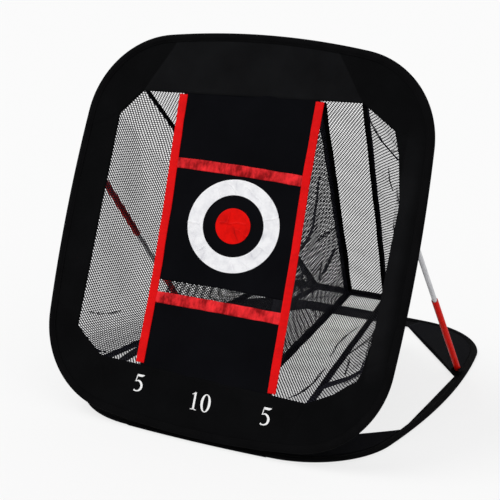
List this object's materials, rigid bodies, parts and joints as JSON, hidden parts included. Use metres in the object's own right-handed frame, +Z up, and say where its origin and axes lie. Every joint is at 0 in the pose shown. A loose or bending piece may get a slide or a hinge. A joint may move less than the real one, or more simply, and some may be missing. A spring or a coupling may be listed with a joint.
{
  "type": "golf chipping net",
  "caption": "Pop-up golf chipping net: a leaning target hoop with a netted bag behind it, a base hoop, and prop rods that hold it open.",
  "frame": {"origin": "on the ground under the middle of the whole part", "axes": "+X to the right of someone facing the target, +Y to the rear, +Z up"},
  "size_m": [0.6, 0.694, 0.5896],
  "materials": {
    "border_cloth": "black woven nylon",
    "sleeve_cloth": "black woven nylon, sewn edge",
    "panel_cloth": "matt black polyester",
    "red_tape": "red ribbed tape",
    "white_print": "white satin cloth",
    "red_print": "red satin cloth",
    "netting": "black knotless netting",
    "seam_tape": "black binding tape",
    "webbing": "black webbing",
    "spring_steel": "blued spring steel strip",
    "rod_white": "white glass-fibre rod",
    "rod_red": "red tube"
  },
  "bodies": {
    "base": {"base_hoop": "spring_steel", "base_ferrule": "spring_steel", "base_sleeve": "sleeve_cloth", "base_band": "border_cloth", "rear_gusset_left": "border_cloth", "rear_gusset_right": "border_cloth", "front_gusset_left": "border_cloth", "front_gusset_right": "border_cloth", "rod_foot_pocket_left": "webbing", "rod_foot_pocket_right": "webbing", "hinge_tape": "seam_tape"},
    "front": {"front_hoop": "spring_steel", "front_ferrule": "spring_steel", "front_sleeve": "sleeve_cloth", "front_border": "border_cloth", "upper_panel": "panel_cloth", "target_panel": "panel_cloth", "lower_panel": "panel_cloth", "target_ring": "white_print", "target_spot": "red_print", "red_tape_left": "red_tape", "red_tape_right": "red_tape", "cross_tape_upper": "red_tape", "cross_tape_lower": "red_tape", "rod_head_pocket_left": "webbing", "rod_head_pocket_right": "webbing", "top_net": "netting", "floor_net": "netting", "side_net_left": "netting", "side_net_right": "netting", "divider_net_left": "netting", "divider_net_right": "netting", "rear_edge_tape": "seam_tape", "top_seam_left": "seam_tape", "top_seam_right": "seam_tape", "floor_seam_left": "seam_tape", "floor_seam_right": "seam_tape", "divider_top_seam_left": "seam_tape", "divider_top_seam_right": "seam_tape", "divider_floor_seam_left": "seam_tape", "divider_floor_seam_right": "seam_tape"},
    "left_rod": {"rod_left": "rod_white", "rod_left_lower_sleeve": "rod_red", "rod_left_upper_sleeve": "rod_red"},
    "right_rod": {"rod_right": "rod_white", "rod_right_lower_sleeve": "rod_red", "rod_right_upper_sleeve": "rod_red"}
  },
  "joints": [
    {"name": "front_fold", "type": "hinge", "parent": "base", "child": "front", "pos_m": [0, -0.34101, 0.0072], "axis": [-1, 0, 0], "range_deg": [0, 60], "deforming": ["top_net", "floor_net", "side_net_left", "side_net_right", "divider_net_left", "divider_net_right", "rear_edge_tape", "top_seam_left", "top_seam_right", "floor_seam_left", "floor_seam_right", "divider_top_seam_left", "divider_top_seam_right", "divider_floor_seam_left", "divider_floor_seam_right"]},
    {"name": "left_rod_swing", "type": "hinge", "parent": "base", "child": "left_rod", "pos_m": [-0.264, 0.11599, 0.0137], "axis": [-1, 0, 0], "range_deg": [0, 128]},
    {"name": "right_rod_swing", "type": "hinge", "parent": "base", "child": "right_rod", "pos_m": [0.264, 0.11599, 0.0137], "axis": [-1, 0, 0], "range_deg": [0, 128]}
  ],
  "couplings": [
    {"joint": "left_rod_swing", "follows": "front_fold", "ratio": 2.1248},
    {"joint": "right_rod_swing", "follows": "front_fold", "ratio": 2.1248}
  ]
}
